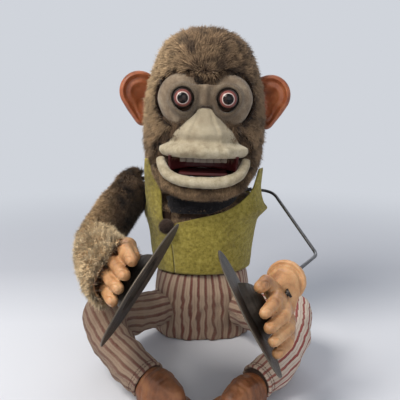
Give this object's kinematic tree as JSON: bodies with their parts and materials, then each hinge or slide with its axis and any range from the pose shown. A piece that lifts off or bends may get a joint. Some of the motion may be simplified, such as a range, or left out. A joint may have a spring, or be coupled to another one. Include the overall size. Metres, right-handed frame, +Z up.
{
  "type": "cymbal-playing monkey toy",
  "caption": "Seated plush monkey toy on a battery base: hinged arms clap steel cymbals through a crank and links; the pressed head drops the jaw and pops the eyes.",
  "frame": {"origin": "middle of the base underside, on the floor", "axes": "+Z up, the face looks toward -Y, +X is the side of the bare wire arm"},
  "size_m": [0.1816, 0.239, 0.2524],
  "materials": {
    "base_plastic": "fine texture",
    "plated_steel": "plated",
    "cell_jacket": "satin",
    "switch_plastic": "moulded",
    "motor_case": "plated",
    "brass": "worn",
    "gear_nylon": "moulded",
    "shell_plastic": "moulded",
    "brown_plush": "short pile",
    "tan_plush": "short pile",
    "black_felt": "felt",
    "yellow_felt": "felt",
    "striped_cotton": "plain weave with stripes",
    "foot_vinyl": "worn vinyl",
    "hand_vinyl": "worn vinyl",
    "ear_vinyl": "satin vinyl",
    "dark_wire": "drawn wire",
    "cymbal_steel": "tarnished",
    "pin_black": "satin",
    "grey_flock": "flock",
    "cream_flock": "flock",
    "tooth_white": "moulded",
    "eye_gloss": "polished"
  },
  "bodies": {
    "torso": {"base_box": "base_plastic", "door_hinge_pin": "plated_steel", "battery_cells": "cell_jacket", "battery_contacts": "plated_steel", "lower_plate": "plated_steel", "frame_posts": "plated_steel", "upper_plate": "plated_steel", "frame_screws": "plated_steel", "motor_can": "motor_case", "middle_axle": "plated_steel", "shoulder_plate": "plated_steel", "arm_bushes": "brass", "neck_post": "plated_steel", "torso_front": "shell_plastic", "torso_back": "shell_plastic", "chest_plush": "brown_plush", "neck_collar": "black_felt", "vest_right_front": "yellow_felt", "vest_left_front": "yellow_felt", "vest_back": "yellow_felt", "vest_button": "black_felt", "trouser_seat": "striped_cotton", "trouser_leg_right": "striped_cotton", "trouser_leg_left": "striped_cotton", "foot_right": "foot_vinyl", "foot_left": "foot_vinyl", "head_spring": "plated_steel"},
    "left_arm": {"left_arm_wire": "dark_wire", "left_lever": "brass", "left_hand": "hand_vinyl", "left_cymbal_pin": "pin_black"},
    "right_arm": {"right_arm_wire": "dark_wire", "right_lever": "brass", "right_sleeve_upper": "brown_plush", "right_sleeve_fore": "tan_plush", "right_hand": "hand_vinyl", "right_cymbal_pin": "pin_black"},
    "left_cymbal_plate": {"left_cymbal": "cymbal_steel"},
    "right_cymbal_plate": {"right_cymbal": "cymbal_steel"},
    "left_link_bar": {"left_link": "plated_steel"},
    "right_link_bar": {"right_link": "plated_steel"},
    "crank": {"crank_gear": "gear_nylon", "crank_shaft": "plated_steel"},
    "middle_wheel": {"middle_gear": "gear_nylon"},
    "motor_rotor": {"motor_pinion": "brass"},
    "head": {"neck_sleeve": "plated_steel", "skull": "shell_plastic", "head_plush": "brown_plush", "eye_mask": "grey_flock", "muzzle": "cream_flock", "upper_teeth": "tooth_white", "ears": "ear_vinyl", "eye_guide": "shell_plastic", "jaw_pin": "plated_steel"},
    "eye_pair": {"eyes": "eye_gloss"},
    "jaw": {"jaw_frame": "shell_plastic", "lower_lip": "cream_flock", "chin_plush": "brown_plush"},
    "door": {"battery_door": "base_plastic"},
    "switch": {"switch_slider": "switch_plastic"}
  },
  "joints": [
    {"name": "left_arm_swing", "type": "hinge", "parent": "torso", "child": "left_arm", "pos_m": [0.029, 0.004, 0.1], "axis": [0, 0, 1], "range_deg": [-7, 20]},
    {"name": "right_arm_swing", "type": "hinge", "parent": "torso", "child": "right_arm", "pos_m": [-0.029, 0.004, 0.1], "axis": [0, 0, 1], "range_deg": [-20, 7]},
    {"name": "left_link_pivot", "type": "hinge", "parent": "left_arm", "child": "left_link_bar", "pos_m": [0.029, -0.007, 0.085], "axis": [0, 0, 1], "range_deg": [-20, 7]},
    {"name": "right_link_pivot", "type": "hinge", "parent": "right_arm", "child": "right_link_bar", "pos_m": [-0.029, -0.007, 0.085], "axis": [0, 0, 1], "range_deg": [-7, 20]},
    {"name": "left_cymbal_turn", "type": "hinge", "parent": "left_arm", "child": "left_cymbal_plate", "pos_m": [0.0297, -0.143, 0.0665], "axis": [0.8867, 0.01, 0.4623], "continuous": true},
    {"name": "right_cymbal_turn", "type": "hinge", "parent": "right_arm", "child": "right_cymbal_plate", "pos_m": [-0.0378, -0.15, 0.0878], "axis": [-0.8487, 0.1616, 0.5036], "continuous": true},
    {"name": "crank_turn", "type": "hinge", "parent": "torso", "child": "crank", "pos_m": [0, -0.01, 0.07], "axis": [0, 0, 1], "continuous": true},
    {"name": "middle_turn", "type": "hinge", "parent": "torso", "child": "middle_wheel", "pos_m": [0.00672, 0.00704, 0.07], "axis": [0, 0, 1], "continuous": true},
    {"name": "motor_turn", "type": "hinge", "parent": "torso", "child": "motor_rotor", "pos_m": [-0.0115, 0.0125, 0.07], "axis": [0, 0, 1], "continuous": true},
    {"name": "head_press", "type": "slide", "parent": "torso", "child": "head", "axis": [0, 0, 1], "range_m": [-0.004, 0], "stiffness_N_per_m": 1500, "springref_m": 0.006, "deforming": ["head_spring"]},
    {"name": "jaw_drop", "type": "hinge", "parent": "head", "child": "jaw", "pos_m": [0.00104, -0.008, 0.15298], "axis": [-0.9995, 0, 0.0314], "range_deg": [-5, 0]},
    {"name": "eyes_pop", "type": "slide", "parent": "head", "child": "eye_pair", "axis": [0, -1, 0], "range_m": [0, 0.004]},
    {"name": "door_swing", "type": "hinge", "parent": "torso", "child": "door", "pos_m": [0, 0.0244, 0.0017], "axis": [1, 0, 0], "range_deg": [0, 95]},
    {"name": "switch_slide", "type": "slide", "parent": "torso", "child": "switch", "axis": [1, 0, 0], "range_m": [-0.0025, 0.0025]}
  ],
  "couplings": [
    {"joint": "right_arm_swing", "follows": "left_arm_swing", "ratio": -1},
    {"joint": "left_link_pivot", "follows": "left_arm_swing", "ratio": -1},
    {"joint": "right_link_pivot", "follows": "left_arm_swing", "ratio": 1},
    {"joint": "middle_turn", "follows": "crank_turn", "ratio": -3.3333},
    {"joint": "motor_turn", "follows": "crank_turn", "ratio": 11.667},
    {"joint": "jaw_drop", "follows": "head_press", "rad_per_m": 21.807},
    {"joint": "eyes_pop", "follows": "head_press", "ratio": -1}
  ]
}
